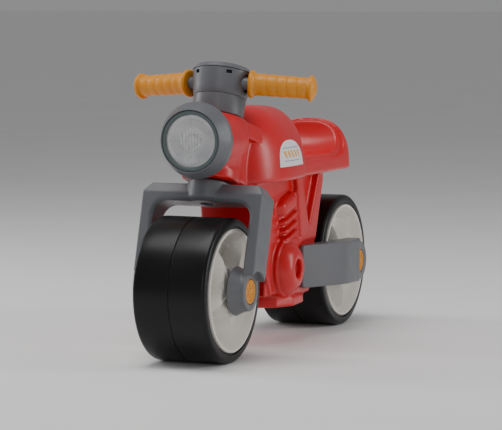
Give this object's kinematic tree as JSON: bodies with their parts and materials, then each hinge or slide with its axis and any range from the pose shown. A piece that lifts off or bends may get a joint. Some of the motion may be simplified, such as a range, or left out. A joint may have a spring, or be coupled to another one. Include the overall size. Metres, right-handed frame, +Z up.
{
  "type": "toddler ride-on motorbike",
  "caption": "Toddler foot-to-floor ride-on motorbike: moulded tank-and-seat body, raked steering fork with handlebar and grips, wide spoked wheels and rear arms.",
  "frame": {"origin": "on the ground midway between the wheels, the bottom centre of the bounding box", "axes": "+Z up, -Y forward, +X the rider's left"},
  "size_m": [0.2742, 0.64, 0.4119],
  "materials": {
    "red_plastic": "satin blow-moulded shell with a fine grain",
    "grey_plastic": "satin moulded, blue grey",
    "yellow_plastic": "satin moulded, yellow orange",
    "tyre": "semi-gloss soft black tread",
    "cream_plastic": "satin moulded, warm white",
    "dark_trim": "satin moulded, dark green grey",
    "lens": "clear ribbed lens",
    "reflector": "metallised bowl",
    "black_nylon": "moulded nylon",
    "sticker": "printed vinyl film",
    "steel": "zinc plated"
  },
  "bodies": {
    "frame": {"arm_tie_rod": "steel", "blow_plug": "black_nylon", "body_shell": "red_plastic", "headlight_bezel": "grey_plastic", "headlight_lens": "lens", "headlight_reflector": "reflector", "headlight_trim_ring": "dark_trim", "lower_steering_bush": "black_nylon", "rear_arm_left": "grey_plastic", "rear_arm_right": "grey_plastic", "rear_axle": "steel", "rear_axle_cap_left": "yellow_plastic", "rear_axle_cap_right": "yellow_plastic", "rear_push_nut_left": "steel", "rear_push_nut_right": "steel", "tank_sticker_left": "sticker", "tank_sticker_right": "sticker", "upper_steering_bush": "black_nylon"},
    "steering": {"clamp_screw_left": "steel", "clamp_screw_right": "steel", "front_axle": "steel", "front_axle_cap_left": "yellow_plastic", "front_axle_cap_right": "yellow_plastic", "front_fork": "grey_plastic", "front_push_nut_left": "steel", "front_push_nut_right": "steel", "grip_left": "yellow_plastic", "grip_right": "yellow_plastic", "handlebar_clamp": "black_nylon", "handlebar_tube": "grey_plastic", "steering_bolt": "steel", "steering_cap": "grey_plastic", "steering_cap_lid": "grey_plastic", "steering_nut": "steel", "steering_sleeve": "grey_plastic", "steering_stem": "steel", "steering_washer": "steel"},
    "front_wheel": {"front_hub_bush_left": "black_nylon", "front_hub_bush_right": "black_nylon", "front_hub_left": "cream_plastic", "front_hub_right": "cream_plastic", "front_tyre": "tyre", "front_wheel_spacer_left": "black_nylon", "front_wheel_spacer_right": "black_nylon"},
    "rear_wheel": {"rear_hub_bush_left": "black_nylon", "rear_hub_bush_right": "black_nylon", "rear_hub_left": "cream_plastic", "rear_hub_right": "cream_plastic", "rear_tyre": "tyre", "rear_wheel_spacer_left": "black_nylon", "rear_wheel_spacer_right": "black_nylon"}
  },
  "joints": [
    {"name": "steering_turn", "type": "hinge", "parent": "frame", "child": "steering", "pos_m": [0, -0.22, 0.1], "axis": [0, 0.2924, 0.9563], "range_deg": [-30, 30]},
    {"name": "front_wheel_spin", "type": "hinge", "parent": "steering", "child": "front_wheel", "pos_m": [0, -0.22, 0.1], "axis": [1, 0, 0], "continuous": true},
    {"name": "rear_wheel_spin", "type": "hinge", "parent": "frame", "child": "rear_wheel", "pos_m": [0, 0.22, 0.1], "axis": [1, 0, 0], "continuous": true}
  ]
}
